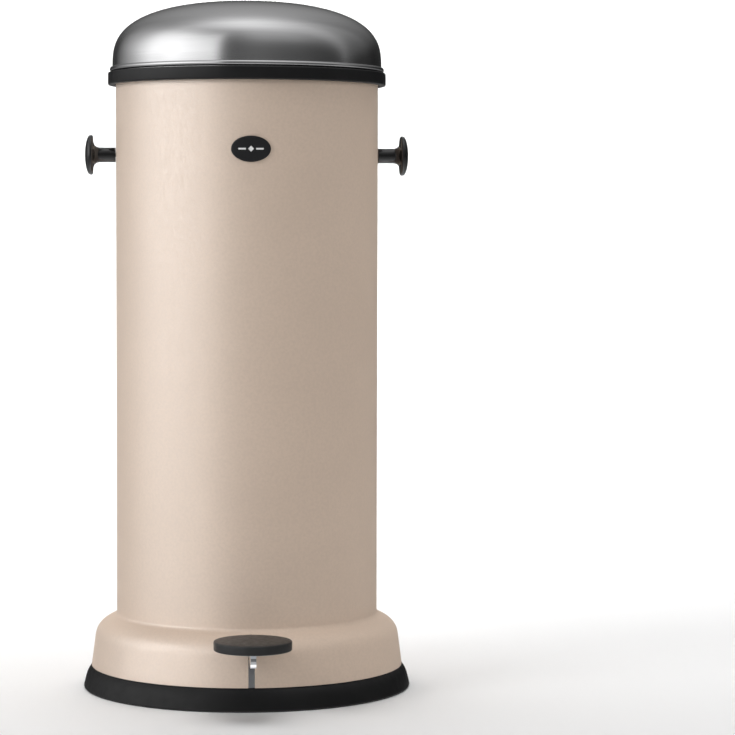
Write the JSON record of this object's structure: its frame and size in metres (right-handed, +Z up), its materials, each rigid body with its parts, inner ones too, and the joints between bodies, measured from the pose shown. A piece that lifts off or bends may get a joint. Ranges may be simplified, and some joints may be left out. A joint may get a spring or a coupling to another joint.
{
  "type": "pedal trash can",
  "caption": "Tall round pedal bin with a domed hinged lid, side knobs, a foot pedal with its linkage, and a lift-out inner bucket.",
  "frame": {"origin": "on the floor, under the middle of the object's outline seen from above, pedal included; the can's own axis is 29.2 mm behind it", "axes": "+Z up, -Y towards the pedal and the person using it, +X to the right seen from the front"},
  "size_m": [0.2968, 0.3554, 0.6185],
  "materials": {
    "body_paint": "satin beige powder coat",
    "lid_steel": "satin stainless steel",
    "bright_steel": "bright plated steel",
    "zinc_steel": "zinc-plated steel",
    "galvanised_steel": "galvanised steel",
    "foot_rubber": "matt black rubber",
    "band_rubber": "satin black rubber",
    "pad_rubber": "matt dark grey rubber",
    "knob_gloss": "glossy black plastic",
    "badge_black": "satin black",
    "white_plastic": "natural white moulding",
    "black_plastic": "black moulding",
    "bucket_plastic": "dark grey moulding, fine grain"
  },
  "bodies": {
    "can": {"body_shell": "body_paint", "base_skirt": "body_paint", "base_ring": "foot_rubber", "bottom_plate": "zinc_steel", "fulcrum_bracket": "zinc_steel", "fulcrum_pin": "bright_steel", "fulcrum_clip_left": "bright_steel", "fulcrum_clip_right": "bright_steel", "rod_guide_lower": "white_plastic", "rod_guide_upper": "white_plastic", "damper_cylinder": "black_plastic", "damper_gland": "white_plastic", "damper_clamp": "zinc_steel", "hinge_base": "zinc_steel", "hinge_rivet_1": "bright_steel", "hinge_rivet_2": "bright_steel", "hinge_rivet_3": "bright_steel", "hinge_rivet_4": "bright_steel", "hinge_pin": "bright_steel", "hinge_pin_cap": "knob_gloss", "handle_left": "knob_gloss", "handle_right": "knob_gloss", "handle_screw_left": "bright_steel", "handle_screw_right": "bright_steel", "handle_washer_left": "zinc_steel", "handle_washer_right": "zinc_steel", "badge": "badge_black"},
    "lid": {"lid_dome": "lid_steel", "lid_seal_band": "band_rubber", "lid_hinge_leaf": "zinc_steel", "lid_backing_plate": "zinc_steel", "lid_rivet_1": "bright_steel", "lid_rivet_2": "bright_steel", "lid_rivet_3": "bright_steel", "crank_pin": "bright_steel"},
    "pedal": {"pedal_arm": "bright_steel", "pedal_plate": "zinc_steel", "pedal_pad": "pad_rubber", "pedal_screw_front": "bright_steel", "pedal_screw_rear": "bright_steel", "lever_pin": "bright_steel"},
    "lift_rod": {"push_rod": "zinc_steel", "push_rod_head": "white_plastic", "push_rod_fork": "white_plastic"},
    "damper_plunger": {"damper_rod": "bright_steel", "damper_piston": "white_plastic", "damper_foot": "white_plastic"},
    "inner_bucket": {"bucket": "bucket_plastic", "bucket_ear_left": "galvanised_steel", "bucket_ear_right": "galvanised_steel", "ear_rivet_left_front": "bright_steel", "ear_rivet_left_rear": "bright_steel", "ear_rivet_right_front": "bright_steel", "ear_rivet_right_rear": "bright_steel"},
    "bail": {"bail_wire": "bright_steel", "bail_grip": "black_plastic"}
  },
  "joints": [
    {"name": "lid_open", "type": "hinge", "parent": "can", "child": "lid", "pos_m": [0, 0.1607, 0.543], "axis": [-1, 0, 0], "range_deg": [0, 84]},
    {"name": "pedal_press", "type": "hinge", "parent": "can", "child": "pedal", "pos_m": [0, 0.0042, 0.045], "axis": [1, 0, 0], "range_deg": [0, 11]},
    {"name": "push_rod_lift", "type": "slide", "parent": "can", "child": "lift_rod", "axis": [0, 0, 1], "range_m": [0, 0.0261]},
    {"name": "damper_stroke", "type": "slide", "parent": "can", "child": "damper_plunger", "axis": [0, 0, 1], "range_m": [0, 0.0261]},
    {"name": "bucket_lift", "type": "slide", "parent": "can", "child": "inner_bucket", "axis": [0, 0, 1], "range_m": [0, 0.04]},
    {"name": "bail_swing", "type": "hinge", "parent": "inner_bucket", "child": "bail", "pos_m": [0, 0.0292, 0.5], "axis": [-1, 0, 0], "range_deg": [0, 170]}
  ],
  "couplings": [
    {"joint": "pedal_press", "follows": "lid_open", "ratio": 0.1309},
    {"joint": "push_rod_lift", "follows": "lid_open", "m_per_rad": 0.0178},
    {"joint": "damper_stroke", "follows": "lid_open", "m_per_rad": 0.0178}
  ]
}
